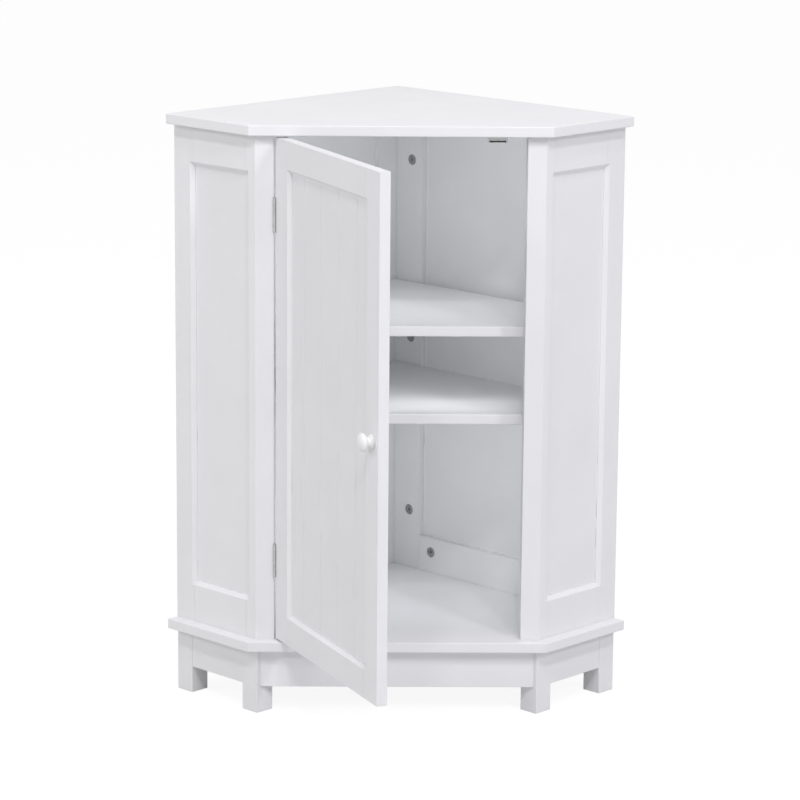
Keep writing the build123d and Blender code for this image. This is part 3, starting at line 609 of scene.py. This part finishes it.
def build_knob():
    """Turned wooden knob: a rounded foot, a drawn-in neck and a domed head with a soft rim."""
    shape = bmesh.new()
    profile = [(knob_foot_radius - knob_foot_round, 0.0), (knob_foot_radius, knob_foot_round)]
    for index in range(knob_steps + 1):
        share = index / knob_steps
        height = knob_foot_height + share * (knob_shoulder_height - knob_foot_height)
        wide = knob_foot_radius + share * (knob_shoulder_radius - knob_foot_radius)
        profile.append((wide - knob_neck_draw * sin(pi * share), height))
    crown_centre = knob_length - knob_crown_height
    under_rise = (knob_shoulder_height - crown_centre) / sin(knob_rim_start)
    for index in range(1, knob_steps * 2):
        turn = knob_rim_start + (pi / 2 - knob_rim_start) * index / (knob_steps * 2)
        rise = knob_crown_height if turn > 0 else under_rise
        profile.append((knob_head_radius * cos(turn), crown_centre + rise * sin(turn)))
    profile.append((knob_head_radius * knob_tip_share, knob_length))
    shape.faces.new(turned(shape, profile, turned_segments * 2))
    foot = Matrix.Translation((0, 0, -knob_length))
    seats = [seat(points, door_outward) @ foot for points in solids_of("knob")]
    add_piece("turned_knob", shape, seats, "door", "knob_paint", ["knob"])


screws = {
    "post_hinge_screws": ("cabinet", "hinge_frame_screws", Vector((1, 0, 0)), hinge_screw),
    "door_hinge_screws": ("door", "hinge_door_screws", -door_along, hinge_screw),
    "strike_cross_screw": ("door", "strike_screw", -door_outward, strike_screw),
    "knob_cross_screw": ("door", "knob_screw", -door_outward, knob_screw),
    "catch_cross_screws": ("cabinet", "catch_screws", Vector((0, 0, -1)), catch_screw),
}
build_cams()
build_knob()
for name, (body, node, outward, sizes) in screws.items():
    build_screws(name, body, node, outward, **sizes)


def floor_material():
    """White under the camera, with the object's shadow; plain matt white for the light it returns."""
    material, tree = new_material("studio_floor")
    rays = make_node(tree, "ShaderNodeLightPath").outputs
    seen = math(tree, "MAXIMUM", rays["Is Camera Ray"], rays["Is Glossy Ray"])
    seen = math(tree, "MAXIMUM", seen, rays["Is Transmission Ray"])
    bounce = make_node(tree, "ShaderNodeBsdfDiffuse", {"Color": floor_bounce})
    shade = make_node(tree, "ShaderNodeBsdfDiffuse", {"Color": floor_shade})
    glow = make_node(tree, "ShaderNodeEmission", {"Strength": floor_glow})
    lit = make_node(tree, "ShaderNodeAddShader", {0: shade.outputs[0], 1: glow.outputs[0]})
    both = make_node(tree, "ShaderNodeMixShader", {0: seen, 1: bounce.outputs[0], 2: lit.outputs[0]})
    finish_material(tree, both)
    return material


def build_floor():
    mesh = bpy.data.meshes.new("studio_floor")
    shape = bmesh.new()
    bmesh.ops.create_grid(shape, x_segments=1, y_segments=1, size=floor_size / 2)
    shape.to_mesh(mesh)
    shape.free()
    floor = bpy.data.objects.new("studio_floor", mesh)
    scene.collection.objects.link(floor)
    floor.data.materials.append(floor_material())


def build_world():
    """Even studio light; seen directly or in a reflection, it is plain white."""
    world = bpy.data.worlds.new("studio")
    world.use_nodes = True
    scene.world = world
    tree = world.node_tree
    tree.nodes.clear()
    rays = make_node(tree, "ShaderNodeLightPath").outputs
    seen = math(tree, "MAXIMUM", rays["Is Camera Ray"], rays["Is Glossy Ray"])
    seen = math(tree, "MAXIMUM", seen, rays["Is Transmission Ray"])
    strength = spread(tree, seen, 0.0, 1.0, sky_strength, white_background)
    tint = mix_colour(tree, seen, sky_colour, (1.0, 1.0, 1.0, 1.0))
    sky = make_node(tree, "ShaderNodeBackground", {"Color": tint, "Strength": strength})
    make_node(tree, "ShaderNodeOutputWorld", {"Surface": sky.outputs[0]})


def build_lamp(name, place, facing, size, power, colour):
    """Area lamp; size is its width and height."""
    lamp = bpy.data.lights.new(name, "AREA")
    lamp.shape = "RECTANGLE"
    lamp.size, lamp.size_y = size
    lamp.energy = power
    lamp.color = colour
    holder = bpy.data.objects.new(name, lamp)
    holder.location = place
    holder.rotation_euler = facing.to_track_quat("-Z", "Z").to_euler()
    scene.collection.objects.link(holder)


def build_fill(name, floor, ceiling, power):
    """Lamp in the upper part of a compartment, just behind the front, facing into the cabinet."""
    floor_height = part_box(floor)[1][2]
    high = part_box(ceiling)[0][2] - fill_below_ceiling
    low = floor_height + fill_lift * (high - floor_height)
    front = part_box("left_front_post")[0][1]
    place = Vector((0.0, front + fill_behind_front, (low + high) / 2))
    build_lamp(name, place, Vector((0, 1, 0)), (fill_width, high - low), power, inner_light)


def build_camera():
    forward = Vector((
        sin(camera_yaw) * cos(camera_pitch),
        cos(camera_yaw) * cos(camera_pitch),
        -sin(camera_pitch),
    ))
    level = Vector((cos(camera_yaw), -sin(camera_yaw), 0))
    upward = level.cross(forward)
    right = cos(camera_roll) * level + sin(camera_roll) * upward
    up = cos(camera_roll) * upward - sin(camera_roll) * level
    data = bpy.data.cameras.new("camera")
    data.lens = camera_lens_mm
    data.sensor_width = camera_sensor_mm
    data.clip_end = 100.0
    camera = bpy.data.objects.new("camera", data)
    turn = Matrix((right, up, -forward)).transposed().to_4x4()
    camera.matrix_world = Matrix.Translation(camera_place) @ turn
    scene.collection.objects.link(camera)
    scene.camera = camera


build_floor()
build_world()
for name, lamp in lamps.items():
    place = Vector(lamp["place"])
    side = lamp["size"]
    build_lamp(name, place, lamp_target - place, (side, side), lamp["power"], lamp["colour"])
for name, settings in fills.items():
    build_fill(name + "_fill", **settings)
build_camera()
scene.view_settings.view_transform = "Standard"
